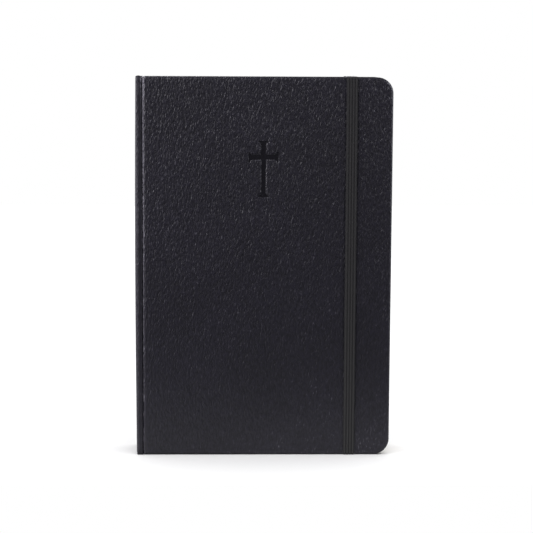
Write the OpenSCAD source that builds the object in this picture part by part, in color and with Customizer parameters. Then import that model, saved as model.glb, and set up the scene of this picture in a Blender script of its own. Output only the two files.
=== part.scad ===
// A case-bound bible in flexible leather covers, held shut by an elastic band.
// It stands on its tail: the spine is at -X, the fore edge at +X, the front cover
// faces -Y and the head is at +Z. All sizes are in millimetres.

/* [Book] */
// Height of the covers, from tail to head
book_h = 210; // [180:1:240]
// Width of the covers, from the spine to the fore edge
book_w = 141; // [120:1:165]
// Thickness over both covers
book_t = 26; // [22:0.5:34]

/* [Covers] */
// Thickness of the leather
leather_t = 0.7; // [0.6:0.05:1]
// Thickness of a cover board
board_t = 1.9; // [1.5:0.1:2.5]
// Thickness of the leather turned in over a board
turn_in_t = 0.3; // [0.2:0.05:0.4]
// Width of the leather turned in over a board
turn_in_w = 12; // [8:1:16]
// Radius of the two rounded corners of each cover
corner_r = 9.5; // [5:0.5:14]
// How far the covers stand past the leaves
square_w = 3; // [2:0.5:5]
// Distance from the back of the spine to the crease that the cover turns on
joint_w = 3.6; // [3.4:0.1:5]
// Width of the cloth hinge glued to the inside of a board
hinge_cloth_w = 22; // [15:1:30]

/* [Spine] */
// Radius of the spine's two long edges
spine_r = 3.2; // [2:0.1:3.2]
// Thickness of the card that stiffens the spine
spine_card_t = 0.7; // [0.5:0.1:1]
// Thickness of the lining paper glued over the cloth
lining_t = 0.25; // [0.15:0.05:0.4]
// Thickness of the open-weave cloth glued to the folds
mull_t = 0.25; // [0.15:0.05:0.4]
// Diameter of the sewing thread
thread_d = 0.36; // [0.3:0.02:0.5]
// Number of rows of sewing
sewing_rows = 6; // [3:1:8]
// Diameter of the headbands
headband_d = 1.6; // [1:0.1:2]

/* [Leaves] */
// Number of sewn sections in each half of the book
sections_per_half = 12; // [4:1:14]
// Radius of the rounded corners of the leaves
leaf_corner_r = 7; // [3:0.5:10]
// Thickness of an endpaper
endpaper_t = 0.15; // [0.1:0.05:0.3]
// Space between neighbouring sections
section_gap = 0.02; // [0.01:0.01:0.05]

/* [Elastic band] */
// Width of the band
band_w = 6.2; // [4:0.1:10]
// Thickness of the band
band_t = 0.6; // [0.5:0.05:0.9]
// Distance from the fore edge to the middle of the band
band_inset = 22.6; // [15:0.1:35]
// Distance from the head or the tail to the slit that takes the band's end
slit_inset = 14; // [13:1:30]
// Length of the band's end glued inside the back cover
band_tab_l = 12; // [8:1:20]
// Depth of the groove that the band has pressed into the head edges
head_groove = 0.2; // [0.1:0.05:0.4]

/* [Ribbon marker] */
// Width of the ribbon
ribbon_w = 6; // [4:0.5:10]
// Thickness of the ribbon
ribbon_t = 0.24; // [0.15:0.01:0.3]
// Length of the ribbon below the point that it swings on
ribbon_l = 192; // [150:1:195]

/* [Cross] */
// Height of the pressed cross
cross_h = 30.8; // [20:0.1:45]
// Width of the pressed cross
cross_w = 16.3; // [12:0.1:25]
// Width of the arms between their ends
arm_w = 2.5; // [1.5:0.1:4]
// Width of the flared ends of the arms
flare_w = 5.6; // [4:0.1:8]
// Length over which an arm flares
flare_l = 2.6; // [1:0.1:4]
// Thickness of the serif at the tip of each arm
serif_t = 0.7; // [0.3:0.1:1.2]
// Distance from the head of the cover to the top of the cross
cross_drop = 34.9; // [20:0.1:60]
// Distance from the top of the cross to the middle of its bar
bar_drop = 8.9; // [6:0.1:15]
// Depth to which the cross is pressed
cross_depth = 0.35; // [0.1:0.05:0.5]

/* [Clearances] */
// Space at each side of a hinge line and between pieces that move apart
running_gap = 0.3; // [0.2:0.05:0.4]
// Space between the two halves of the leaves, where the ribbon lies
centre_gap = 0.8; // [0.7:0.05:1.2]

/* [Hidden] */
$fn = 48;
overlap = 1;                                    // how far a cutting shape runs past what it cuts
front = -1;
rear = 1;
// Places across the width, from the spine to the fore edge
spine_x = -book_w / 2;
fore_x = book_w / 2;
card_x = spine_x + leather_t;
lining_x = card_x + spine_card_t;
mull_x = lining_x + lining_t;
thread_x = mull_x + mull_t;
sewing_room = 0.4;                              // between the cloth and the folds
fold_x = thread_x + sewing_room;
crease_x = spine_x + joint_w;
panel_x = crease_x + running_gap / 2;
band_x = fore_x - band_inset;
ribbon_from_folds = 2.5;
ribbon_x = fold_x + ribbon_from_folds + ribbon_w / 2;
// Places through the front half, from the outside to the middle of the book
outer_y = -book_t / 2;
board_y = outer_y + leather_t;
turn_in_y = board_y + board_t;
paste_y = turn_in_y + turn_in_t;
inner_y = paste_y + endpaper_t;
flyleaf_y = inner_y + running_gap;
block_y = flyleaf_y + endpaper_t;
heart_y = -centre_gap / 2;                      // where the leaves and the layers on their folds end
middle_y = -running_gap / 2;                    // where the leather of the spine ends
section_pitch = (heart_y - block_y) / sections_per_half;
section_t = section_pitch - section_gap;
// Places up the height, from the tail to the head
leaf_z0 = square_w;
leaf_z1 = book_h - square_w;
thread_margin = 18;                             // from the ends of the folds to the outer rows
mull_margin = 12;                               // from the ends of the folds to the open-weave cloth
lining_margin = 1;                              // from the ends of the folds to the lining
ribbon_tab = 3;                                 // glued part of the ribbon, above its pivot
ribbon_pivot_z = leaf_z1 - ribbon_tab - 1;
slit_side = 0.15;                               // space beside the band in its slits and grooves
slit_h = band_t + 0.4;

section_count = 2 * sections_per_half;
function section_name(i) = str("section_", i < 10 ? "0" : "", i);

// Everything is drawn in the front half; the rear half is its mirror image
module to_side(side) {
    if (side == rear) mirror([0, 1, 0]) children();
    else children();
}

// A plate from y0 to y1 whose outline is drawn with x across and z up
module plate(y0, y1) {
    translate([0, y1, 0]) rotate([90, 0, 0]) linear_extrude(y1 - y0) children();
}

// A column from z0 to z1 whose outline is drawn with x and y
module column(z0, z1) {
    translate([0, 0, z0]) linear_extrude(z1 - z0) children();
}

// A rectangle whose two corners at the fore edge are round
module leaf_outline(x0, x1, z0, z1, r) {
    translate([x0, z0]) square([x1 - x0 - r, z1 - z0]);
    translate([x1 - 2 * r, z0 + r]) square([2 * r, z1 - z0 - 2 * r]);
    for (z = [z0 + r, z1 - r]) translate([x1 - r, z]) circle(r);
}

module cover_outline(inset) {
    leaf_outline(panel_x, fore_x - inset, inset, book_h - inset, corner_r - inset);
}

module page_outline(x0) {
    leaf_outline(x0, fore_x - square_w, leaf_z0, leaf_z1, leaf_corner_r);
}

// One arm of the cross, pointing up, with a curved flare that ends in a thin serif
module cross_arm(l) {
    step = (flare_w - arm_w) / 2;
    rise = flare_l - serif_t;
    flare = [for (t = [0 : 15 : 75]) [arm_w / 2 + step * (1 - cos(t)), l - flare_l + rise * sin(t)]];
    right = concat([[arm_w / 2, -arm_w / 2]], flare, [[flare_w / 2, l - serif_t], [flare_w / 2, l]]);
    left = [for (i = [len(right) - 1 : -1 : 0]) [-right[i][0], right[i][1]]];
    polygon(concat(right, left));
}

module cross_outline() {
    translate([0, book_h - cross_drop - bar_drop]) {
        cross_arm(bar_drop);
        rotate(180) cross_arm(cross_h - bar_drop);
        rotate(90) cross_arm(cross_w / 2);
        rotate(-90) cross_arm(cross_w / 2);
    }
}

// A folded and sewn section: its fold is round and its other edges are cut square
module section(i) {
    side = i <= sections_per_half ? front : rear;
    from_cover = side == front ? i - 1 : section_count - i;
    y = block_y + from_cover * section_pitch;
    color(i % 2 == 0 ? "floralwhite" : "ivory")
        to_side(side)
            intersection() {
                column(leaf_z0, leaf_z1) {
                    translate([fold_x + section_t / 2, y + section_t / 2]) circle(d = section_t);
                    translate([fold_x + section_t / 2, y]) square([book_w, section_t]);
                }
                plate(outer_y, 0) page_outline(fold_x);
            }
}

module flyleaf(side) {
    color("seashell") to_side(side) plate(flyleaf_y, block_y) page_outline(fold_x);
}

module sewing_thread(side) {
    pitch = (leaf_z1 - leaf_z0 - 2 * thread_margin) / (sewing_rows - 1);
    color("white")
        to_side(side)
            for (i = [0 : sewing_rows - 1])
                translate([thread_x + thread_d / 2, heart_y, leaf_z0 + thread_margin + i * pitch])
                    rotate([90, 0, 0]) cylinder(d = thread_d, h = heart_y - block_y);
}

// A layer glued down the spine, between two depths
module spine_layer(side, x0, x1, y0, margin) {
    to_side(side)
        column(leaf_z0 + margin, leaf_z1 - margin)
            translate([x0, y0]) square([x1 - x0, heart_y - y0]);
}

module mull(side) {
    color("wheat") spine_layer(side, mull_x, thread_x, block_y, mull_margin);
}

module spine_lining(side) {
    color("burlywood") spine_layer(side, lining_x, mull_x, block_y, lining_margin);
}

module spine_card(side) {
    color("gray") spine_layer(side, card_x, lining_x, outer_y + spine_r, 0);
}

// The leather round the spine: half a channel with one round edge
module spine_leather(side) {
    inner_r = spine_r - leather_t;
    edge_x = crease_x - running_gap / 2;
    color([0.15, 0.15, 0.17])
        to_side(side)
            column(0, book_h)
                difference() {
                    union() {
                        translate([spine_x + spine_r, outer_y + spine_r]) circle(spine_r);
                        translate([spine_x, outer_y + spine_r])
                            square([leather_t, middle_y - outer_y - spine_r]);
                        if (edge_x > spine_x + spine_r)
                            translate([spine_x + spine_r, outer_y])
                                square([edge_x - spine_x - spine_r, leather_t]);
                    }
                    translate([spine_x + spine_r, outer_y + spine_r]) circle(inner_r);
                    translate([spine_x + leather_t, outer_y + spine_r]) square(2 * spine_r);
                    translate([spine_x + spine_r, outer_y + leather_t]) square(2 * spine_r);
                    translate([edge_x, outer_y - overlap]) square([2 * spine_r, spine_r]);
                }
}

// A rolled band at the end of the folds
module headband(side, z) {
    color("firebrick")
        to_side(side)
            translate([fold_x + headband_d / 2, heart_y, z])
                rotate([90, 0, 0]) cylinder(d = headband_d, h = heart_y - block_y);
}

module ribbon_marker() {
    color("darkred")
        plate(-ribbon_t / 2, ribbon_t / 2)
            translate([ribbon_x - ribbon_w / 2, ribbon_pivot_z - ribbon_l])
                square([ribbon_w, ribbon_l + ribbon_tab]);
}

// The shallow grooves that the band has pressed into the edges of a cover
module band_grooves() {
    w = band_w + 2 * slit_side;
    for (z = [[-overlap, band_t], [book_h - head_groove, book_h + overlap]])
        translate([band_x - w / 2, outer_y - overlap, z[0]])
            cube([w, inner_y - outer_y + 2 * overlap, z[1] - z[0]]);
}

// Slits through the leather and board for the ends of the band
module band_slits() {
    w = band_w + 2 * slit_side;
    for (z = [slit_inset, book_h - slit_inset])
        translate([band_x - w / 2, outer_y - overlap, z - slit_h / 2])
            cube([w, turn_in_y - outer_y + overlap, slit_h]);
}

// Room in the inside of the board for the glued ends of the band
module band_recesses() {
    w = band_w + 2 * slit_side;
    for (z = [slit_inset, book_h - slit_inset - band_tab_l - slit_side])
        translate([band_x - w / 2, turn_in_y - band_t, z])
            cube([w, band_t + overlap, band_tab_l + slit_side]);
}

module board(side) {
    color("darkgray")
        to_side(side)
            difference() {
                plate(board_y, turn_in_y) cover_outline(leather_t);
                if (side == rear) band_slits();
                if (side == rear) band_recesses();
            }
}

module turn_in_window() {
    inset = leather_t + turn_in_w;
    translate([panel_x - overlap, inset])
        square([fore_x - inset - panel_x + overlap, book_h - 2 * inset]);
}

// A leather skin over the board: outer face, three edges and the turn-ins
module cover_leather(side) {
    color([0.13, 0.13, 0.15])
        to_side(side)
            difference() {
                plate(outer_y, paste_y) cover_outline(0);
                plate(board_y, turn_in_y) cover_outline(leather_t);
                translate([panel_x - overlap, board_y, leather_t])
                    cube([2 * overlap, board_t, book_h - 2 * leather_t]);
                plate(turn_in_y - overlap / 2, paste_y + overlap) turn_in_window();
                band_grooves();
                if (side == rear) band_slits();
                if (side == front) plate(outer_y - overlap, outer_y + cross_depth) cross_outline();
            }
}

// The cloth and the infill lie level with the turn-ins
module level_sheet(side, x0, x1) {
    to_side(side)
        plate(turn_in_y, paste_y)
            intersection() {
                turn_in_window();
                translate([x0, 0]) square([x1 - x0, book_h]);
            }
}

module hinge_cloth(side) {
    color("wheat") level_sheet(side, panel_x, panel_x + hinge_cloth_w);
}

module infill(side) {
    color("lightgray") level_sheet(side, panel_x + hinge_cloth_w, fore_x);
}

module pastedown(side) {
    color("seashell") to_side(side) plate(paste_y, inner_y) page_outline(panel_x);
}

// An end of the band: along the outside of the back cover, through its slit, and along its inside
module elastic_end(flip) {
    z_slit = book_h - slit_inset;
    z_top = book_h - head_groove;
    color([0.2, 0.2, 0.2])
        translate([band_x - band_w / 2, 0, flip ? book_h : 0])
            mirror([0, 0, flip ? 1 : 0])
                rotate([90, 0, 90])
                    linear_extrude(band_w) {
                        translate([-outer_y, z_slit - band_t / 2])
                            square([band_t, (flip ? book_h - band_t : z_top) - z_slit + band_t / 2]);
                        translate([-turn_in_y, z_slit - band_t / 2])
                            square([turn_in_y - outer_y + band_t, band_t]);
                        translate([-turn_in_y, z_slit - band_tab_l])
                            square([band_t, band_tab_l + band_t / 2]);
                    }
}

// The two short lengths of band across the head and the tail
module elastic_wraps() {
    color([0.2, 0.2, 0.2])
        for (z = [0, book_h - head_groove])
            translate([band_x - band_w / 2, outer_y - band_t, z])
                cube([band_w, book_t + 2 * band_t, band_t]);
}

module elastic_front() {
    color([0.2, 0.2, 0.2])
        translate([band_x - band_w / 2, outer_y - band_t, band_t])
            cube([band_w, band_t, book_h - head_groove - band_t]);
}

for (i = [1 : section_count])
    section(i);
flyleaf(front);  // front_flyleaf
flyleaf(rear);  // rear_flyleaf
sewing_thread(front);  // sewing_thread_front
sewing_thread(rear);  // sewing_thread_rear
mull(front);  // mull_front
mull(rear);  // mull_rear
spine_lining(front);  // spine_lining_front
spine_lining(rear);  // spine_lining_rear
spine_card(front);  // spine_card_front
spine_card(rear);  // spine_card_rear
spine_leather(front);  // spine_leather_front
spine_leather(rear);  // spine_leather_rear
headband(front, leaf_z1 + headband_d / 2);  // headband_front
headband(rear, leaf_z1 + headband_d / 2);  // headband_rear
headband(front, leaf_z0 - headband_d / 2);  // tailband_front
headband(rear, leaf_z0 - headband_d / 2);  // tailband_rear
ribbon_marker();
board(front);  // front_board
hinge_cloth(front);  // front_hinge_cloth
infill(front);  // front_infill
pastedown(front);  // front_pastedown
cover_leather(front);  // front_cover_leather
board(rear);  // back_board
hinge_cloth(rear);  // back_hinge_cloth
infill(rear);  // back_infill
pastedown(rear);  // back_pastedown
cover_leather(rear);  // back_cover_leather
elastic_end(false);  // elastic_end_head
elastic_end(true);  // elastic_end_tail
elastic_wraps();
elastic_front();
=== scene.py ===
import math

import bmesh
import bpy
import numpy as np
from mathutils import Euler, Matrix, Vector, noise
from mathutils.geometry import delaunay_2d_cdt


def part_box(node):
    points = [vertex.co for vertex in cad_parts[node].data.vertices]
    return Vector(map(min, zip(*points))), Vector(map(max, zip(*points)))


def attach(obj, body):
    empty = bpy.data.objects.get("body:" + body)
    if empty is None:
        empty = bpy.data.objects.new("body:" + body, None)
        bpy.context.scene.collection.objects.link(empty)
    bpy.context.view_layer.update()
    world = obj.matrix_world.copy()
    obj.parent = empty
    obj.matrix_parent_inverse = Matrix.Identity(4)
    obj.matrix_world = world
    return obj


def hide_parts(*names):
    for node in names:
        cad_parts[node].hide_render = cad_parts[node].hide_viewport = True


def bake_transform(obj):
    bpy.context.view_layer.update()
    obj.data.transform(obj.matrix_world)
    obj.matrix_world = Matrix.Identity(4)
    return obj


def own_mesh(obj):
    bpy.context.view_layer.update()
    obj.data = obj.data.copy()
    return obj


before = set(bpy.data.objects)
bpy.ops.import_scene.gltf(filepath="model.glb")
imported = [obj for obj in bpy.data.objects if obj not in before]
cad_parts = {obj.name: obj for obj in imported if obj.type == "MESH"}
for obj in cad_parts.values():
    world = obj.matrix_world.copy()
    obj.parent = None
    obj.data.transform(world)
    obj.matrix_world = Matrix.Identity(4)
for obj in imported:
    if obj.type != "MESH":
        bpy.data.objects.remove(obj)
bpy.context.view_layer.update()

# ---------------------------------------------------------------- sizes and places, in metres
MM = 0.001
FRONT, REAR = -1, 1

# The leather of the covers
CORNER_R = 8.8 * MM           # rounded corners at the fore edge
SPINE_CORNER_R = 0.9 * MM     # softened corners beside the spine
LEATHER_T = 0.7 * MM
OUTER_ROLL = 1.25 * MM        # how softly the leather turns over a board's outer edge
OUTER_ROWS = 7                # rings of points round that turn
INNER_ROLL = 0.6 * MM
TURN_IN_SHOWN = 6 * MM
GRID = 1.7 * MM               # spacing of the points inside a cover's face

# The leather of the spine
CREASE_SHARE = 1.3            # how much wider the cover's roll is where it turns into the crease
CREASE_ROLL = 0.3 * MM        # how sharply the spine's leather turns into the crease
SPINE_R = 1.6 * MM
SPINE_DROP = 0.6 * MM         # how far the spine's leather lies below the cover at the crease
SPINE_BOW = 0.53 * MM         # how far the back of the spine bows out at half height
HEADCAP = 0.3 * MM            # how far the leather at the spine's head is raised
PARED_T = 0.2 * MM            # the thickness of its middle line, where the leather is pared
SPINE_ROLL = 0.33 * MM        # how its head and tail are rolled inwards

front_lo, front_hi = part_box("front_cover_leather")
spine_lo, spine_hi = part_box("spine_leather_front")
band_lo, band_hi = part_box("elastic_front")
wrap_lo, wrap_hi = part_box("elastic_wraps")
stub_lo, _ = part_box("elastic_end_head")
ribbon_lo, ribbon_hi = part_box("ribbon_marker")
section_lo, section_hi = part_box("section_12")
flyleaf_lo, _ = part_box("front_flyleaf")
paste_lo, paste_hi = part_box("front_pastedown")

HEIGHT = front_hi.z
FORE_X = front_hi.x
SPINE_X = spine_lo.x
OUTER_Y = front_lo.y          # outer face of the front cover
COVER_T = front_hi.y - front_lo.y
CREASE_X = spine_hi.x
BAND_X = (band_lo.x + band_hi.x) / 2
BAND_W = band_hi.x - band_lo.x
BAND_T = band_hi.y - band_lo.y
SLIT_Z = stub_lo.z + 12 * MM  # the slit at the head, where the glued end starts

# The pressed cross
CROSS_H, CROSS_W = 30.8 * MM, 16.3 * MM
ARM_W = 2.5 * MM
FLARE_W, FLARE_L, SERIF_T = 5.6 * MM, 2.6 * MM, 0.7 * MM
BAR_DROP = 8.9 * MM           # from the cross's top to the middle of its bar
CROSS_BAR_Z = HEIGHT - 34.9 * MM - BAR_DROP
CROSS_X = -0.4 * MM
CROSS_DEPTH = 0.26 * MM
CROSS_WALL = 0.3 * MM         # width of the slope round it
CROSS_SINK, CROSS_SINK_REACH = 0.06 * MM, 0.7 * MM    # how the leather round it gives

# The leaves
SQUARE = 3 * MM               # how far the covers stand beyond them at the fore edge
HINGES = ((FRONT, "front_leaves", "front_cover"), (REAR, "rear_leaves", "back_cover"))

# The two columns on each page of the centre spread, measured from the fold
FOLD_X = SPINE_X - 0.15 * MM
PRINT_X, PRINT_W = 75 * MM, 104 * MM
PRINT_MARGIN = 16 * MM        # at the head and the tail
PRINT_GUTTER = 2.2 * MM       # half of the space between the columns
LINE_PITCH = 2.6 * MM

# How the leather is worn beside the crease, and where a highlight is painted along it, as distances from the
# crease
PRESSED_SMOOTH = 1.8 * MM     # the grain is flattened within this of it
# where the painted highlight line lies beside the crease, and its half width
HIGHLIGHT_X, HIGHLIGHT_HALF = 0.5 * MM, 0.9 * MM
HIGHLIGHT_HEAD_SPREAD = 24 * MM            # the painted highlight widens over this height below the head
DULL_OVER = 2.5 * MM          # the spine's side turns dull over this width

# The elastic's raised cords
RIBS = 4
RIBBED = 0.98                 # share of the band's width that they take up


# ---------------------------------------------------------------- meshes
def make_piece(name, verts, faces, materials, body=None, mirror=False):
    """A smooth mesh piece with its faces turned outwards. mirror copies it to the other side of the book."""
    v = np.array(verts, float)
    if mirror:
        v[:, 1] *= -1
    mesh = bpy.data.meshes.new(name)
    mesh.from_pydata(v.tolist(), [], faces)
    for m in materials:
        mesh.materials.append(m)
    mesh.validate()
    obj = bpy.data.objects.new(name, mesh)
    bpy.context.scene.collection.objects.link(obj)
    turn_outwards(mesh)
    mesh.polygons.foreach_set("use_smooth", [True] * len(mesh.polygons))
    if body:
        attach(obj, body)
    return obj


def turn_outwards(mesh):
    """Join points that lie on each other, and turn every face outwards."""
    bm = bmesh.new()
    bm.from_mesh(mesh)
    bmesh.ops.remove_doubles(bm, verts=bm.verts, dist=1e-7)
    bmesh.ops.recalc_face_normals(bm, faces=bm.faces)
    bm.to_mesh(mesh)
    bm.free()


def bridge(a, b, n, closed=True):
    """Quads between two rings of n points that start at vertex numbers a and b."""
    last = n if closed else n - 1
    return [(a + i, a + (i + 1) % n, b + (i + 1) % n, b + i) for i in range(last)]


def arc(cx, cz, r, a0, a1, n):
    """n points along an arc, with its angles in degrees."""
    return [(cx + r * math.cos(a), cz + r * math.sin(a)) for a in np.radians(np.linspace(a0, a1, n))]


def stretch(p, q, step):
    """Points along a straight edge, without its ends."""
    n = max(2, round(math.dist(p, q) / step))
    return [(p[0] + (q[0] - p[0]) * i / n, p[1] + (q[1] - p[1]) * i / n) for i in range(1, n)]


def cover_ring(inset):
    """The cover's outline, set in by inset. Every ring has the same number of points."""
    x0, x1, z0, z1 = CREASE_X, FORE_X, 0.0, HEIGHT
    corners = []
    for x, z, r, a in ((x1, z0, CORNER_R, -90), (x1, z1, CORNER_R, 0),
                       (x0, z1, SPINE_CORNER_R, 90), (x0, z0, SPINE_CORNER_R, 180)):
        r_in = max(r - inset, 0.15 * MM)
        away = inset + r_in
        cx = x + (away if x == x0 else -away)
        cz = z + (away if z == z0 else -away)
        corners.append(arc(cx, cz, r_in, a, a + 90, 15 if r == CORNER_R else 5))
    sides = [HEIGHT, x1 - x0, HEIGHT, x1 - x0]
    ring = []
    for i, (corner, side) in enumerate(zip(corners, sides)):
        p, q = corner[-1], corners[(i + 1) % 4][0]
        n = round(side / (3 * MM))
        ring += corner
        ring += [(p[0] + (q[0] - p[0]) * k / n, p[1] + (q[1] - p[1]) * k / n) for k in range(1, n)]
    return ring


def inside(points, polygon):
    """Which points lie inside a polygon."""
    p, poly = np.asarray(points), np.asarray(polygon)
    found = np.zeros(len(p), bool)
    for a, b in zip(poly, np.roll(poly, -1, 0)):
        crosses = (a[1] > p[:, 1]) != (b[1] > p[:, 1])
        with np.errstate(divide="ignore", invalid="ignore"):
            x = a[0] + (p[:, 1] - a[1]) * (b[0] - a[0]) / (b[1] - a[1])
        found ^= crosses & (p[:, 0] < x)
    return found


def distance_to(points, polygon):
    """Distance from each point to a closed outline."""
    p, poly = np.asarray(points), np.asarray(polygon)
    best = np.full(len(p), 1e9)
    for a, b in zip(poly, np.roll(poly, -1, 0)):
        d = b - a
        t = np.clip(((p - a) @ d) / max(d @ d, 1e-18), 0, 1)
        best = np.minimum(best, np.linalg.norm(p - a - t[:, None] * d, axis=1))
    return best


def offset_ring(polygon, by):
    """A closed outline moved inwards by a small distance, corner by corner."""
    p = np.asarray(polygon)
    before, after = p - np.roll(p, 1, 0), np.roll(p, -1, 0) - p
    n0 = np.stack([-before[:, 1], before[:, 0]], 1)
    n1 = np.stack([-after[:, 1], after[:, 0]], 1)
    n0 /= np.linalg.norm(n0, axis=1, keepdims=True)
    n1 /= np.linalg.norm(n1, axis=1, keepdims=True)
    scale = 1 / np.maximum(1 + (n0 * n1).sum(1, keepdims=True), 0.4)
    return p + by * (n0 + n1) * scale


def cross_outline():
    """The cross's outline, anticlockwise: four arms with bracketed serifs."""
    step, rise = (FLARE_W - ARM_W) / 2, FLARE_L - SERIF_T
    lengths = [CROSS_W / 2, BAR_DROP, CROSS_W / 2, CROSS_H - BAR_DROP]
    outline = []
    for length, turn in zip(lengths, (0, 90, 180, 270)):
        flare = [(length - FLARE_L + rise * math.sin(t), ARM_W / 2 + step * (1 - math.cos(t)))
                 for t in np.radians(np.arange(0, 90, 15))]
        upper = [(ARM_W / 2, ARM_W / 2)] + flare + [(length - SERIF_T, FLARE_W / 2), (length, FLARE_W / 2)]
        lower = [(x, -y) for x, y in upper[1:]]
        c, s = math.cos(math.radians(turn)), math.sin(math.radians(turn))
        outline += [(CROSS_X + c * x - s * y, CROSS_BAR_Z + s * x + c * y) for x, y in lower + upper[::-1]]
    return outline


def soften(t):
    """A smooth step from 0 to 1."""
    t = np.clip(t, 0, 1)
    return t * t * (3 - 2 * t)


def cover_relief(p, cross=None):
    """How deep each point of a cover's face lies below the flat of the leather."""
    depth = np.zeros(len(p))
    for i, (x, z) in enumerate(p):
        swell = noise.noise(Vector((x * 38, z * 27, 3.1)))
        ripple = noise.noise(Vector((x * 150, z * 90, 7.7)))
        depth[i] = 0.035 * MM * swell + 0.012 * MM * ripple
    if cross is not None:
        near = np.where(inside(p, cross), 0, distance_to(p, cross))
        depth += CROSS_DEPTH * (1 - soften(near / CROSS_WALL)) + CROSS_SINK * np.exp(-near / CROSS_SINK_REACH)
    across = np.abs(p[:, 0] - BAND_X) / (BAND_W / 2)
    under_band = 0.1 * MM * (1 - soften((across - 0.85) / 0.5))
    return depth + under_band


def edge_stations():
    """(inset, depth) of each ring round a cover's edge, from the outer face to the end of the turn-in."""
    outer = [(OUTER_ROLL * (1 - math.cos(a)), OUTER_ROLL * (1 - math.sin(a)))
             for a in np.radians(np.linspace(90, 0, OUTER_ROWS))]
    inner = [(INNER_ROLL * (1 - math.cos(a)), COVER_T - INNER_ROLL * (1 - math.sin(a)))
             for a in np.radians(np.linspace(0, 90, 5))]
    return outer + inner + [(1.5 * MM, COVER_T), (3 * MM, COVER_T), (TURN_IN_SHOWN, COVER_T)]


def cover_edge():
    """The rolled edge of a cover and its turn-in: points, faces and the number of points in a ring.
    At the rounded corners the turn-in is pleated."""
    stations = edge_stations()
    rings = [cover_ring(inset) for inset, _ in stations]
    n = len(rings[0])
    verts, faces = [], []
    for k, ((inset, y), ring) in enumerate(zip(stations, rings)):
        pleat = 0.05 * MM * soften((inset - 1 * MM) / (1.5 * MM)) if y > COVER_T / 2 else 0
        for i, (x, z) in enumerate(ring):
            if k < OUTER_ROWS and x < CREASE_X + OUTER_ROLL + 1e-6:
                x = CREASE_X + (x - CREASE_X) * CREASE_SHARE
            corner = x > FORE_X - CORNER_R and (z < CORNER_R or z > HEIGHT - CORNER_R)
            fold = pleat * abs(math.sin(i * 1.9)) if corner else 0
            verts.append((x, OUTER_Y + y + fold, z))
        if k:
            faces += bridge((k - 1) * n, k * n, n)
    faces.append(tuple(range((len(stations) - 1) * n, len(stations) * n)))
    return verts, faces, n


def cover_face(edge, cross=None):
    """Points and triangles that fill a cover's outer face, with extra rings round the cross."""
    xs = np.arange(CREASE_X + GRID, FORE_X, GRID)
    zs = np.arange(GRID / 2, HEIGHT, GRID)
    grid = np.array([(x + (GRID / 2 if j % 2 else 0), z) for j, z in enumerate(zs) for x in xs])
    keep = inside(grid, edge) & (distance_to(grid, edge) > 0.6 * GRID)
    loops = [edge]
    if cross is not None:
        loops += [offset_ring(cross, -by).tolist() for by in (1.1 * CROSS_WALL, CROSS_WALL / 2)]
        loops += [cross.tolist(), offset_ring(cross, 0.25 * MM).tolist()]
    for ring in loops[1:]:
        keep &= distance_to(grid, ring) > 0.45 * MM
    points = [Vector(p) for ring in loops for p in ring] + [Vector(p) for p in grid[keep]]
    edges, start = [], 0
    for ring in loops:
        edges += [(start + i, start + (i + 1) % len(ring)) for i in range(len(ring))]
        start += len(ring)
    flat, _, tris, *_ = delaunay_2d_cdt(points, edges, [], 0, 1e-7)
    flat = np.array([(p.x, p.y) for p in flat])
    middle = flat[np.array(tris)].mean(1)
    return flat, [t for t, ok in zip(tris, inside(middle, edge)) if ok]


def cover_skin(name, side, materials, body, cross=None):
    """The leather over one board: its outer face, the rolled edges and the turn-ins."""
    verts, faces, n = cover_edge()
    edge = [(x, z) for x, _, z in verts[:n]]
    flat, tris = cover_face(edge, cross)
    depth = cover_relief(flat, cross) * soften(distance_to(flat, edge) / (2 * GRID))
    base = len(verts)
    verts += [(x, OUTER_Y + d, z) for (x, z), d in zip(flat, depth)]
    faces += [tuple(base + i for i in t) for t in tris]
    obj = make_piece(name, verts, faces, materials, mirror=side == REAR)
    if cross is not None:
        mesh = obj.data
        centres = np.array([(f.center.x, f.center.z, f.center.y) for f in mesh.polygons])
        pressed = inside(centres[:, :2], cross) & (centres[:, 2] < OUTER_Y + 1 * MM)
        mesh.polygons.foreach_set("material_index", pressed.astype(int))
    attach(obj, body)
    return obj


def rounded_path(points, radius, n=6):
    """An open path through the points, with its inner corners rounded."""
    pts = [Vector(p) for p in points]
    path = [pts[0]]
    for a, b, c in zip(pts, pts[1:], pts[2:]):
        r = min(radius, (b - a).length * 0.45, (c - b).length * 0.45)
        p, q = b + (a - b).normalized() * r, b + (c - b).normalized() * r
        path += [p.lerp(b, t).lerp(b.lerp(q, t), t) for t in np.linspace(0, 1, n)]
    return path + [pts[-1]]


def dense(path, step):
    """The same path with no stretch longer than step."""
    out = [path[0]]
    for a, b in zip(path, path[1:]):
        n = max(1, math.ceil((b - a).length / step))
        out += [a.lerp(b, k / n) for k in range(1, n + 1)]
    return out


def webbing_profile(thickness):
    """Across the elastic: raised ribs outside, a flat inner face and rounded edges, as (across, out)."""
    outer = []
    for u in np.linspace(-RIBBED, RIBBED, 8 * RIBS + 1):
        rib = 0.5 - 0.5 * math.cos((u + RIBBED) / (2 * RIBBED) * RIBS * 2 * math.pi)
        outer.append((u, thickness * (0.78 + 0.22 * rib)))
    edge = [(1.0, thickness * 0.5), (1.0, thickness * 0.2)]
    inner = [(RIBBED, 0.0), (-RIBBED, 0.0)]
    return outer + edge + inner + [(-1.0, thickness * 0.2), (-1.0, thickness * 0.5)]


def swept_band(name, path, width):
    """A length of the elastic, swept along a path in the YZ plane."""
    profile = webbing_profile(BAND_T)
    k = len(profile)
    verts, faces = [], []
    for i, p in enumerate(path):
        ahead = path[min(i + 1, len(path) - 1)] - path[max(i - 1, 0)]
        ahead.normalize()
        out = Vector((0, ahead.z, -ahead.y))
        for across, lift in profile:
            q = p + out * lift
            verts.append((BAND_X + across * width / 2, q.y, q.z))
        if i:
            faces += bridge((i - 1) * k, i * k, k)
    faces.append(tuple(range(k)))
    faces.append(tuple(range(len(verts) - k, len(verts))))
    return make_piece(name, verts, faces, [webbing])


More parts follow.
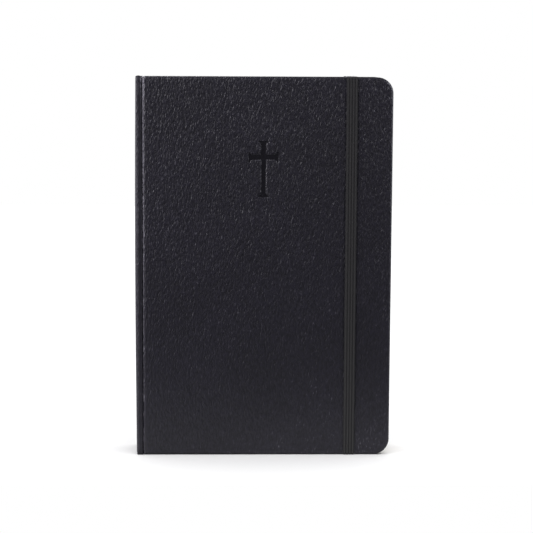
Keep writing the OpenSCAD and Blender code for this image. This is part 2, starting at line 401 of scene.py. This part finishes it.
def sheet_strip(name, path, z0, z1, thickness, material, corner_r=0.0):
    """A thin sheet that stands along Z and follows a path in the XY plane. corner_r rounds its corners
    at the fore edge, as the pages' are."""
    zs = np.linspace(z0, z1, max(2, round((z1 - z0) / (10 * MM))))
    page_x = FORE_X - SQUARE
    pts = [Vector(p) for p in path]
    sides = []
    for i, p in enumerate(pts):
        ahead = (pts[min(i + 1, len(pts) - 1)] - pts[max(i - 1, 0)]).normalized()
        normal = Vector((-ahead.y, ahead.x)) * thickness / 2
        sides.append((p + normal, p - normal))
    ring = [s[0] for s in sides] + [s[1] for s in reversed(sides)]
    n = len(ring)
    verts, faces = [], []
    for j, z in enumerate(zs):
        for p in ring:
            near = 0.0
            if corner_r and p.x > page_x - corner_r:
                run = p.x - (page_x - corner_r)
                near = corner_r - math.sqrt(max(corner_r ** 2 - run ** 2, 0))
            low, high = z0 + near, z1 - near
            verts.append((p.x, p.y, low + (high - low) * (z - z0) / (z1 - z0)))
        if j:
            faces += bridge((j - 1) * n, j * n, n)
    half = len(sides)
    for base in (0, len(verts) - n):
        faces += [(base + i, base + i + 1, base + n - 2 - i, base + n - 1 - i) for i in range(half - 1)]
    return make_piece(name, verts, faces, [material])


# ---------------------------------------------------------------- materials
class Nodes:
    """Short calls for building a material's nodes."""

    def __init__(self, name):
        self.material = bpy.data.materials.new(name)
        self.material.use_nodes = True
        self.tree = self.material.node_tree
        self.shader = self.tree.nodes["Principled BSDF"]

    def new(self, kind, **settings):
        node = self.tree.nodes.new("ShaderNode" + kind)
        for key, value in settings.items():
            setattr(node, key, value)
        return node

    def link(self, a, b):
        self.tree.links.new(a, b)

    def coords(self, stretch=(1, 1, 1), turn=(0, 0, 0)):
        """Object coordinates, turned and then drawn out along each axis."""
        place = self.new("TexCoord")
        mapping = self.new("Mapping", vector_type="TEXTURE")
        mapping.inputs["Scale"].default_value = stretch
        mapping.inputs["Rotation"].default_value = turn
        self.link(place.outputs["Object"], mapping.inputs["Vector"])
        return mapping.outputs["Vector"]

    def axis(self, name):
        split = self.new("SeparateXYZ")
        self.link(self.new("TexCoord").outputs["Object"], split.inputs[0])
        return split.outputs[name]

    def stripes(self, name, start, pitch):
        """Smooth stripes across one axis: 0 at start and 1 half a pitch on."""
        along = self.math("MULTIPLY", self.math("SUBTRACT", self.axis(name), start), 2 * math.pi / pitch)
        return self.math("SUBTRACT", 0.5, self.math("MULTIPLY", self.math("COSINE", along), 0.5))

    def noise(self, vector, scale, detail, rough, distortion=0.0):
        n = self.new("TexNoise")
        n.inputs["Scale"].default_value = scale
        n.inputs["Detail"].default_value = detail
        n.inputs["Roughness"].default_value = rough
        n.inputs["Distortion"].default_value = distortion
        self.link(vector, n.inputs["Vector"])
        return n.outputs["Fac"]

    def flecks(self, vector, scale):
        n = self.new("TexVoronoi")
        n.inputs["Scale"].default_value = scale
        self.link(vector, n.inputs["Vector"])
        return n.outputs["Distance"]

    def wave(self, vector, scale, direction, distortion, detail, detail_scale):
        n = self.new("TexWave", bands_direction=direction)
        n.inputs["Scale"].default_value = scale
        n.inputs["Distortion"].default_value = distortion
        n.inputs["Detail"].default_value = detail
        n.inputs["Detail Scale"].default_value = detail_scale
        self.link(vector, n.inputs["Vector"])
        return n.outputs["Fac"]

    def math(self, operation, a, b=0.0):
        n = self.new("Math", operation=operation)
        for socket, value in zip(n.inputs, (a, b)):
            if isinstance(value, (int, float)):
                socket.default_value = value
            else:
                self.link(value, socket)
        return n.outputs[0]

    def weigh(self, *terms):
        """The sum of some values, each times its weight."""
        total = None
        for value, weight in terms:
            part = self.math("MULTIPLY", value, weight)
            total = part if total is None else self.math("ADD", total, part)
        return total

    def clamp(self, value):
        return self.math("MINIMUM", self.math("MAXIMUM", value, 0.0), 1.0)

    def distance(self, value, place):
        return self.math("ABSOLUTE", self.math("SUBTRACT", value, place))

    def ramp(self, factor, *stops):
        n = self.new("ValToRGB")
        elements = n.color_ramp.elements
        while len(elements) < len(stops):
            elements.new(0.5)
        for e, (at, colour) in zip(elements, stops):
            e.position = at
            e.color = (*colour, 1)
        self.link(factor, n.inputs["Fac"])
        return n.outputs["Color"]

    def bump(self, height, strength, distance):
        n = self.new("Bump")
        n.inputs["Strength"].default_value = strength
        n.inputs["Distance"].default_value = distance
        self.link(height, n.inputs["Height"])
        return n.outputs["Normal"]

    def finish(self, colour, roughness, normal=None, **uniform):
        """Join the colour, the roughness (a number or a link) and the bump to the shader."""
        self.link(colour, self.shader.inputs["Base Color"])
        if isinstance(roughness, float):
            self.shader.inputs["Roughness"].default_value = roughness
        else:
            self.link(roughness, self.shader.inputs["Roughness"])
        if normal is not None:
            self.link(normal, self.shader.inputs["Normal"])
        for key, value in uniform.items():
            self.shader.inputs[key.replace("_", " ")].default_value = value
        return self.material


def grey(v):
    return (v, v, v)


def crease_highlight_mask(m, beyond):
    """1 along a line on the cover's edge at the crease, where a highlight is painted in a lighter grey and
    the leather is made shinier; wider at the head and fainter at the tail.
    """
    up = m.axis("Z")
    widening = m.math("MAXIMUM", m.math("MULTIPLY", m.math("SUBTRACT", up, HEIGHT - HIGHLIGHT_HEAD_SPREAD), 0.04), 0.0)
    half = m.math("ADD", widening, HIGHLIGHT_HALF)
    highlight_line = m.math("SUBTRACT", 1.0, m.math("DIVIDE", m.distance(beyond, HIGHLIGHT_X), half))
    fading = m.clamp(m.math("ADD", m.math("MULTIPLY", up, 3.5), 0.5))
    return m.math("MULTIPLY", m.clamp(highlight_line), fading)


def leather_material(name, pressed=False):
    """Black grained leather: long upright creases over a fine pebble, shinier on its high points.
    The grain is deeper towards the head. Beside the spine it is pressed smooth, with a highlight painted
    along the crease."""
    m = Nodes(name)
    even = m.coords()
    creases = m.noise(m.coords((1, 1, 2.8), (0, math.radians(8), 0)), 1250, 1, 0.4, 0.35)
    folds = m.noise(m.coords((1, 1, 2.0), (0, math.radians(-13), 0)), 840, 1, 0.4, 0.4)
    pebble = m.noise(even, 2400, 1, 0.5)
    patches = m.noise(even, 26, 3, 0.5)
    beyond = m.math("SUBTRACT", m.axis("X"), CREASE_X)
    grained = m.clamp(m.math("DIVIDE", m.distance(beyond, 0.0), PRESSED_SMOOTH))
    # a line beside the crease where a highlight is painted into the colour and the leather is made shinier
    crease_highlight = crease_highlight_mask(m, beyond)
    dull = m.clamp(m.math("DIVIDE", beyond, -DULL_OVER))

    depth = m.math("ADD", m.math("MULTIPLY", m.axis("Z"), 1.2), 0.66)
    height = m.weigh((creases, 1.0), (folds, 0.7), (pebble, 0.04))
    height = m.math("MULTIPLY", m.math("MULTIPLY", height, depth), grained)
    normal = m.bump(height, 0.12 if pressed else 1.0, 0.5 * MM)

    dark, light = (0.005, 0.0047, 0.0072), (0.0125, 0.0118, 0.0175)
    if pressed:
        dark, light = (0.0045, 0.0044, 0.0058), (0.0075, 0.0072, 0.0095)
    # the lighter grey of the painted highlight along the crease
    highlight_grey = (0.17, 0.165, 0.185)
    grain = m.weigh((creases, 0.7), (patches, 0.3))
    colour = m.ramp(m.weigh((grain, 1.0), (crease_highlight, 0.4)), (0.36, dark), (0.66, light), (1.0, highlight_grey))
    rough = m.ramp(grain, (0.3, grey(0.52)), (0.7, grey(0.42)))
    rough = m.weigh((rough, 1.0), (dull, 0.16), (crease_highlight, -0.14))
    return m.finish(colour, rough, normal, Specular_IOR_Level=0.14 if pressed else 0.3)


def webbing_material():
    """Charcoal elastic: covered rubber cords along it, crossed by a fine weft. Its colour is painted lighter
    on the cords' tops and darker between them and at its edges, as painted light and shade.
    """
    m = Nodes("elastic_webbing")
    place = m.coords()
    # the cords' stripes, used only for the colour: painted light on their tops and painted shade between them
    # and at the band's edges
    ribs = m.stripes("X", BAND_X - RIBBED * BAND_W / 2, RIBBED * BAND_W / RIBS)
    weft = m.math("MULTIPLY", m.wave(place, 520, "Z", 0.25, 1, 2), m.wave(place, 520, "Y", 0.25, 1, 2))
    tufts = m.noise(m.coords((1, 1, 2.5)), 1500, 2, 0.5)
    fuzz = m.noise(place, 4200, 1, 0.6)
    height = m.weigh((weft, 0.5), (tufts, 0.5), (fuzz, 0.08))
    # painted light and shade of the cords, mixed with the weave's own tone
    shade = m.weigh((ribs, 0.62), (height, 0.38))
    colour = m.ramp(shade, (0.15, (0.009, 0.009, 0.009)), (0.85, (0.027, 0.027, 0.0265)))
    normal = m.bump(height, 0.8, 0.14 * MM)
    return m.finish(colour, 0.85, normal, Sheen_Weight=0.12, Sheen_Roughness=0.5, Specular_IOR_Level=0.12)


def paper_material(name, light, dark, leaf_t=0.0):
    """Paper with fibres and faint tone, and where leaf_t is set, lines of leaves on its cut edges."""
    m = Nodes(name)
    place = m.coords()
    fibres = m.noise(place, 900, 4, 0.65)
    tone = m.noise(place, 18, 3, 0.5)
    mix = m.weigh((fibres, 0.45), (tone, 0.55))
    height = fibres
    if leaf_t:
        leaves = m.noise(m.coords((0.3, leaf_t, 0.3)), 1.0, 3, 0.75)
        mix = m.weigh((mix, 0.35), (leaves, 0.65))
        height = m.weigh((leaves, 1.4), (fibres, 0.2))
    colour = m.ramp(mix, (0.3, dark), (0.68, light))
    return m.finish(colour, 0.86, m.bump(height, 0.35, 0.06 * MM), Specular_IOR_Level=0.25)


def print_marks(m):
    """Two columns of dashes on each page of the spread, 1 where there is ink. There are no letters."""
    line = m.math("GREATER_THAN", m.stripes("Z", 0.0, LINE_PITCH), 0.72)
    dash = m.math("GREATER_THAN", m.noise(m.coords((1, 1, 2.6)), 420, 0, 0.5), 0.44)
    marks = m.math("MULTIPLY", line, dash)
    from_fold = m.distance(m.axis("X"), FOLD_X)
    for place, middle, half in ((m.axis("Z"), HEIGHT / 2, HEIGHT / 2 - PRINT_MARGIN),
                                (from_fold, PRINT_X, PRINT_W / 2)):
        marks = m.math("MULTIPLY", marks, m.math("LESS_THAN", m.distance(place, middle), half))
    return m.math("MULTIPLY", marks, m.math("GREATER_THAN", m.distance(from_fold, PRINT_X), PRINT_GUTTER))


def printed_paper_material():
    """Thin paper with grey dashes that stand in for print."""
    m = Nodes("spread_paper")
    place = m.coords()
    tone = m.weigh((m.noise(place, 900, 4, 0.65), 0.4), (m.noise(place, 18, 3, 0.5), 0.6))
    paper = m.ramp(tone, (0.3, (0.43, 0.405, 0.34)), (0.68, (0.51, 0.485, 0.415)))
    mix = m.new("Mix", data_type="RGBA")
    m.link(m.math("MULTIPLY", print_marks(m), 0.55), mix.inputs["Factor"])
    m.link(paper, mix.inputs["A"])
    mix.inputs["B"].default_value = (0.10, 0.095, 0.09, 1)
    return m.finish(mix.outputs["Result"], 0.86, m.bump(tone, 0.2, 0.05 * MM), Specular_IOR_Level=0.25)


def cloth_material(name, light, dark, threads):
    """A plain weave, finer with more threads."""
    m = Nodes(name)
    place = m.coords()
    across = m.math("MAXIMUM", m.wave(place, threads, "X", 0.4, 1, 3), m.wave(place, threads, "Y", 0.4, 1, 3))
    weave = m.math("MULTIPLY", across, m.wave(place, threads, "Z", 0.4, 1, 3))
    height = m.weigh((weave, 0.8), (m.noise(place, 3000, 3, 0.6), 0.25))
    colour = m.ramp(height, (0.1, dark), (0.7, light))
    return m.finish(colour, 0.9, m.bump(height, 0.8, 0.1 * MM), Sheen_Weight=0.2, Specular_IOR_Level=0.25)


def ribbon_material():
    """Black satin ribbon: fine ribs across it and a soft lengthwise sheen."""
    m = Nodes("satin_ribbon")
    ribs = m.wave(m.coords(), 1300, "Z", 0.2, 1, 2)
    silk = m.noise(m.coords((1, 1, 30)), 900, 3, 0.6)
    colour = m.ramp(silk, (0.3, (0.010, 0.010, 0.013)), (0.7, (0.028, 0.028, 0.034)))
    normal = m.bump(m.weigh((ribs, 0.6), (silk, 0.3)), 0.4, 0.05 * MM)
    rough = m.ramp(silk, (0.3, grey(0.34)), (0.7, grey(0.46)))
    return m.finish(colour, rough, normal, Sheen_Weight=0.3)


def headband_material():
    """Two silks wound round a core: black and ivory stripes."""
    m = Nodes("headband_cloth")
    place = m.coords()
    stripes = m.wave(place, 190, "Y", 0.15, 1, 4)
    silk = m.wave(place, 1600, "Y", 0.3, 1, 2)
    colour = m.ramp(stripes, (0.47, (0.018, 0.018, 0.020)), (0.55, (0.60, 0.56, 0.46)))
    normal = m.bump(m.weigh((stripes, 1.0), (silk, 0.4)), 0.6, 0.15 * MM)
    return m.finish(colour, 0.6, normal, Sheen_Weight=0.3)


def board_material():
    """Grey pulp board, flecked."""
    m = Nodes("grey_board")
    place = m.coords()
    pulp = m.noise(place, 700, 5, 0.7)
    shade = m.weigh((pulp, 0.8), (m.flecks(place, 900), 0.25))
    colour = m.ramp(shade, (0.35, (0.20, 0.19, 0.175)), (0.7, (0.36, 0.345, 0.32)))
    return m.finish(colour, 0.92, m.bump(pulp, 0.5, 0.1 * MM), Specular_IOR_Level=0.2)


leather = leather_material("black_leather")
pressed_leather = leather_material("pressed_leather", pressed=True)
webbing = webbing_material()
page_paper = paper_material("page_paper", (0.54, 0.505, 0.42), (0.39, 0.355, 0.285), leaf_t=0.07 * MM)
spread_paper = printed_paper_material()
endpaper = paper_material("endpaper", (0.49, 0.455, 0.37), (0.41, 0.375, 0.30))
kraft_paper = paper_material("kraft_paper", (0.42, 0.30, 0.18), (0.30, 0.21, 0.12))
mull_cloth = cloth_material("mull_cloth", (0.66, 0.62, 0.52), (0.34, 0.31, 0.25), 420)
thread_cloth = cloth_material("sewing_thread", (0.76, 0.74, 0.68), (0.55, 0.53, 0.48), 1500)
ribbon_satin = ribbon_material()
headband_cloth = headband_material()
grey_board = board_material()

# Each CAD node takes the first of these whose key is part of its name.
NODE_MATERIALS = {
    "section_": page_paper, "_flyleaf": endpaper, "_pastedown": endpaper, "_infill": kraft_paper,
    "spine_lining_": kraft_paper, "spine_card_": grey_board, "_board": grey_board, "mull_": mull_cloth,
    "_hinge_cloth": mull_cloth, "sewing_thread_": thread_cloth, "headband_": headband_cloth,
    "tailband_": headband_cloth, "_leather": leather, "leather_": leather, "elastic_": webbing,
    "ribbon_": ribbon_satin,
}


def paint_cad_nodes():
    """Give each CAD node that stays visible its material, by its name."""
    for name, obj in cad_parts.items():
        material = next(m for key, m in NODE_MATERIALS.items() if key in name)
        obj.data.materials.clear()
        obj.data.materials.append(material)


# ---------------------------------------------------------------- the pieces
def make_covers():
    cross = np.array(cross_outline())
    front = cover_skin("leather_front_cover", FRONT, [leather, pressed_leather], "front_cover", cross)
    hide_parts("front_cover_leather")
    back = cover_skin("leather_back_cover", REAR, [leather], "back_cover")
    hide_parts("back_cover_leather")


def spine_outline():
    """The outside of the spine from the front crease round to the back crease, as (x, y)."""
    side_y = OUTER_Y + SPINE_DROP
    cx = SPINE_X + SPINE_R
    half = arc(CREASE_X - CREASE_ROLL, side_y + CREASE_ROLL, CREASE_ROLL, 0, -90, 5)
    half += stretch(half[-1], (cx, side_y), 0.4 * MM)
    half += arc(cx, side_y + SPINE_R, SPINE_R, 270, 180, 11)
    half += stretch(half[-1], (SPINE_X, 0.0), 0.6 * MM)
    return half + [(SPINE_X, 0.0)] + [(x, -y) for x, y in reversed(half)]


def round_end(z):
    """How far the spine's corners are rounded in at the height z."""
    tail, head = 1.6 * MM, 0.6 * MM
    low, high = max(1 - z / tail, 0), max(1 - (HEIGHT - z) / head, 0)
    return tail * (1 - math.sqrt(1 - low ** 2)) + head * (1 - math.sqrt(1 - high ** 2))


def spine_levels():
    """(height, how far in) of each row of the spine's outer face. Its ends are rolled inwards."""
    rows = [(SPINE_ROLL * (1 - math.cos(a)), SPINE_ROLL * (1 - math.sin(a)))
            for a in np.radians([30, 60, 90])]
    tail = [0.7 * MM, 1.1 * MM, 1.6 * MM, 2.4 * MM]
    straight = [*tail, *np.linspace(4 * MM, HEIGHT - 4 * MM, 40), HEIGHT - 1.9 * MM]
    return rows + [(z, 0.0) for z in straight] + [(HEIGHT - z, d) for z, d in reversed(rows)]


def spine_normals(outline):
    """The inward direction at each point of the spine's outline."""
    middle = Vector((SPINE_X + 8 * MM, 0))
    normals = []
    for i, p in enumerate(outline):
        ahead = (outline[min(i + 1, len(outline) - 1)] - outline[max(i - 1, 0)]).normalized()
        normal = Vector((-ahead.y, ahead.x))
        beside_crease = abs(p.y) > 12 * MM
        normals.append(normal if beside_crease or normal.dot(middle - p) > 0 else -normal)
    return normals


def spine_thickness(y):
    """The spine's leather is pared along its middle line."""
    whole = LEATHER_T - 0.05 * MM
    return PARED_T + (whole - PARED_T) * soften((abs(y) - 0.5 * MM) / (0.7 * MM))


def make_spine():
    """One sheet of leather round the spine, from one crease to the other."""
    outline = [Vector(p) for p in spine_outline()]
    normals = spine_normals(outline)
    levels = spine_levels()
    n = len(outline)
    verts, faces = [], []
    for z, sunk in levels:
        bow = SPINE_BOW * math.sin(math.pi * z / HEIGHT)
        headcap = HEADCAP if z > HEIGHT - 2 * MM else 0
        for p, inward in zip(outline, normals):
            back = soften((CREASE_X - 1.2 * MM - p.x) / (2.2 * MM))
            q = p + inward * sunk
            verts.append((q.x + (round_end(z) - bow) * back, q.y, z + headcap * back))
    for j in range(1, len(levels)):
        faces += bridge((j - 1) * n, j * n, n, closed=False)
    end_z = levels[1][0]
    inner_levels = [HEIGHT - end_z, HEIGHT - 2.6 * MM, HEIGHT / 2, 2.6 * MM, end_z]
    for z in inner_levels:
        for p, inward in zip(outline, normals):
            q = p + inward * spine_thickness(p.y)
            verts.append((min(q.x, CREASE_X - 0.12 * MM), q.y, z))
    rows_made = len(levels) + len(inner_levels)
    for j in range(len(levels), rows_made + 1):
        faces += bridge((j - 1) * n, (j % rows_made) * n, n, closed=False)
    for end in (0, n - 1):
        faces.append(tuple(j * n + end for j in range(rows_made)))
    obj = make_piece("leather_spine", verts, faces, [leather])
    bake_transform(obj)
    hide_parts("spine_leather_front", "spine_leather_rear")


def make_hinge_papers():
    """The endpaper's fold in each joint: it dips between the block and the board's edge."""
    block_x, cover_x = CREASE_X - 0.25 * MM, CREASE_X - 0.03 * MM
    dip = OUTER_Y + SPINE_DROP + LEATHER_T + 0.15 * MM
    for side, block, cover in HINGES:
        path = [(block_x, flyleaf_lo.y - 0.03 * MM), (block_x, dip), (cover_x, dip), (cover_x, paste_hi.y)]
        path = dense(rounded_path(path, 0.08 * MM, 4), 0.8 * MM)
        path = [(p.x, p.y if side == FRONT else -p.y) for p in path]
        name = "endpaper_fold_" + ("front" if side == FRONT else "rear")
        obj = sheet_strip(name, path, paste_lo.z, paste_hi.z, 0.1 * MM, endpaper)
        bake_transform(obj)


def make_hinge_leather():
    """The leather between the spine and each cover."""
    deep = OUTER_Y + SPINE_DROP + CREASE_ROLL + 0.15 * MM
    reach, near = 0.4 * MM, 0.12 * MM
    for side, block, cover in HINGES:
        path = dense([Vector((CREASE_X - reach, deep)), Vector((CREASE_X + reach, deep))], 0.04 * MM)
        path = [(p.x, p.y if side == FRONT else -p.y) for p in path]
        name = "leather_hinge_" + ("front" if side == FRONT else "back")
        obj = sheet_strip(name, path, 0.7 * MM, HEIGHT - 0.7 * MM, 0.3 * MM, leather)
        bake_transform(obj)


def make_centre_spread():
    """The two leaves at the middle of the book, joined at the fold that runs into the spine."""
    y = -section_hi.y - 0.05 * MM
    x1 = FORE_X - SQUARE - 0.15 * MM
    half = [(x1, y), (SPINE_X + 4 * MM, y), (SPINE_X + 1.2 * MM, 0.1 * MM), (SPINE_X + 0.12 * MM, 0.09 * MM)]
    path = half + [(SPINE_X + 0.02 * MM, 0.0)] + [(x, -t) for x, t in reversed(half)]
    path = dense(rounded_path(path, 0.6 * MM, 4), 2.5 * MM)
    path = [(p.x, p.y) for p in path]
    obj = sheet_strip("centre_spread", path, section_lo.z, section_hi.z, 0.04 * MM, spread_paper, 7 * MM)
    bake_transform(obj)


def make_elastic():
    """The elastic: one length down the front, with its turned-over ends, and the rest at head and tail."""
    y_in = OUTER_Y + 0.06 * MM
    turned_to = 0.4 * MM
    z_head, z_tail = wrap_hi.z - BAND_T, wrap_lo.z + BAND_T
    path = [(0, turned_to, z_head), (0, y_in, z_head), (0, y_in, z_tail), (0, turned_to, z_tail)]
    front = swept_band("elastic_front_length", dense(rounded_path(path, 0.5 * MM), 4 * MM), BAND_W)
    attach(front, "elastic_front_run")
    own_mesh(front)
    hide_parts("elastic_front")
    make_elastic_end("head", z_head, SLIT_Z, y_in)
    make_elastic_end("tail", z_tail, HEIGHT - SLIT_Z, y_in)


def make_elastic_end(end, z_edge, z_slit, y_in):
    """The band over one edge of the back half, and its last length down to the slit behind."""
    direction = -1 if end == "head" else 1
    z = z_edge + direction * 0.03 * MM
    path = dense([Vector((0, -0.2 * MM, z)), Vector((0, -y_in - 0.1 * MM, z))], 2 * MM)
    wrap = swept_band(f"elastic_over_{end}", path[::direction], BAND_W * 0.995)
    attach(wrap, "elastic_loop")
    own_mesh(wrap)
    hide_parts("elastic_wraps")
    over, behind = -y_in - 2 * MM, -y_in - 1.6 * MM
    path = [(0, over, z_edge), (0, -y_in, z_edge), (0, -y_in, z_slit), (0, behind, z_slit)]
    path = dense(rounded_path(path, 0.5 * MM), 1.5 * MM)
    stub = swept_band(f"elastic_end_behind_{end}", path[::direction], BAND_W * 0.99)
    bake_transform(stub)


def make_ribbon():
    """A flat ribbon with rounded selvedges and a slanted end."""
    x0, x1 = ribbon_lo.x, ribbon_hi.x
    half = 0.085 * MM
    cut, reach = 3 * MM, 8 * MM
    levels = np.linspace(ribbon_hi.z, ribbon_lo.z, 70)
    across = np.linspace(-1, 1, 9)
    verts, faces = [], []
    for z in levels:
        for face in (1, -1):
            for u in across[::face]:
                slant = cut * (1 - u) / 2 * soften((ribbon_lo.z + reach - z) / reach)
                wave = 0.02 * MM * math.sin(z * 260 + u)
                y = wave + face * half * (1 - 0.7 * abs(u) ** 6)
                verts.append(((x0 + x1) / 2 + u * (x1 - x0) / 2, y, z + slant))
    n = 2 * len(across)
    for j in range(1, len(levels)):
        faces += bridge((j - 1) * n, j * n, n)
    k = len(across)
    for base in (0, len(verts) - n):
        faces += [(base + i, base + i + 1, base + n - 2 - i, base + n - 1 - i) for i in range(k - 1)]
    obj = make_piece("satin_ribbon", verts, faces, [ribbon_satin], "ribbon")
    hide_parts("ribbon_marker")


# ---------------------------------------------------------------- floor, light and camera
def make_floor():
    """A pale surface under the book. It ends just in front of it, where the white world goes on."""
    side, near, far = 1.1, -0.08, 1.6
    mesh = bpy.data.meshes.new("floor")
    mesh.from_pydata([(-side, near, 0), (side, near, 0), (side, far, 0), (-side, far, 0)], [], [(0, 1, 2, 3)])
    m = Nodes("floor")
    tone = m.noise(m.coords(), 3, 2, 0.5)
    m.finish(m.ramp(tone, (0.3, grey(0.90)), (0.7, grey(0.92))), 0.45, Specular_IOR_Level=0.3)
    mesh.materials.append(m.material)
    floor = bpy.data.objects.new("floor", mesh)
    bpy.context.scene.collection.objects.link(floor)
    floor.location.z = -0.05 * MM
    return floor


def share_floor(light, floor, state):
    """Let a light reach the floor alone, or shade it from the floor."""
    linked = bpy.data.collections.new(light.name + "_floor")
    linked.objects.link(floor)
    light.light_linking.receiver_collection = linked
    linked.collection_objects[0].light_linking.link_state = state


def area_light(floor, name, place, aim, size, power, colour):
    """A soft light on the book alone."""
    data = bpy.data.lights.new(name, "AREA")
    data.shape = "RECTANGLE"
    data.size, data.size_y = size
    data.energy = power
    data.color = colour
    light = bpy.data.objects.new(name, data)
    light.location = place
    light.rotation_euler = (Vector(aim) - Vector(place)).to_track_quat("-Z", "Y").to_euler()
    bpy.context.scene.collection.objects.link(light)
    share_floor(light, floor, "EXCLUDE")


def make_world():
    """White behind the book, and dim where it lights it."""
    world = bpy.data.worlds.new("studio")
    bpy.context.scene.world = world
    world.use_nodes = True
    tree = world.node_tree
    dim = tree.nodes["Background"]
    dim.inputs["Color"].default_value = (0.93, 0.91, 1.0, 1)
    dim.inputs["Strength"].default_value = 0.10
    seen = tree.nodes.new("ShaderNodeBackground")
    seen.inputs["Color"].default_value = (1, 1, 1, 1)
    path = tree.nodes.new("ShaderNodeLightPath")
    mix = tree.nodes.new("ShaderNodeMixShader")
    tree.links.new(path.outputs["Is Camera Ray"], mix.inputs["Fac"])
    tree.links.new(dim.outputs[0], mix.inputs[1])
    tree.links.new(seen.outputs[0], mix.inputs[2])
    tree.links.new(mix.outputs[0], tree.nodes["World Output"].inputs["Surface"])


def make_light(floor):
    """A white surface lit evenly from above, and soft lights on the book itself."""
    sun = bpy.data.lights.new("overhead", "SUN")
    sun.energy = 4.6
    sun.angle = math.radians(70)
    overhead = bpy.data.objects.new("overhead", sun)
    overhead.rotation_euler = (math.radians(4), 0, 0)
    bpy.context.scene.collection.objects.link(overhead)
    share_floor(overhead, floor, "INCLUDE")
    high, low = (0, 0, 0.18), (0, 0, 0.11)
    area_light(floor, "left", (-0.64, -0.40, 0.46), low, (0.25, 0.5), 7.5, (0.96, 0.93, 1.0))
    area_light(floor, "right", (0.78, -0.36, 0.46), low, (0.3, 0.5), 6.5, (0.93, 0.91, 1.0))
    area_light(floor, "rim_left", (-0.62, -0.06, 0.40), high, (0.2, 0.55), 7, (0.96, 0.94, 1.0))
    area_light(floor, "rim_right", (0.70, 0.02, 0.40), high, (0.2, 0.4), 4, (0.88, 0.90, 1.0))
    area_light(floor, "top", (0.0, 0.15, 1.0), low, (0.8, 0.6), 1, (0.96, 0.95, 1.0))
    area_light(floor, "behind", (-0.35, 0.90, 0.45), low, (0.6, 0.6), 6, (0.96, 0.95, 1.0))


def make_camera():
    """In front and a little above the middle of the book, as in a catalogue picture."""
    distance, azimuth, elevation, roll = 0.94, -1.52, 7.0, 0.285
    data = bpy.data.cameras.new("camera")
    data.lens = 113.45
    data.sensor_width = 36.0
    camera = bpy.data.objects.new("camera", data)
    a, e = math.radians(azimuth), math.radians(elevation)
    away = Vector((math.sin(a) * math.cos(e), -math.cos(a) * math.cos(e), math.sin(e)))
    aim = Vector((1.8 * MM, 0.0, HEIGHT / 2 - 0.6 * MM))
    camera.location = aim + away * distance
    turn = (-away).to_track_quat("-Z", "Y")
    camera.rotation_euler = (turn @ Euler((0, 0, math.radians(roll))).to_quaternion()).to_euler()
    bpy.context.scene.collection.objects.link(camera)
    bpy.context.scene.camera = camera


make_camera()
make_world()
make_light(make_floor())
paint_cad_nodes()
make_covers()
make_spine()
make_hinge_leather()
make_hinge_papers()
make_centre_spread()
make_elastic()
make_ribbon()
bpy.context.scene.view_settings.view_transform = "Standard"
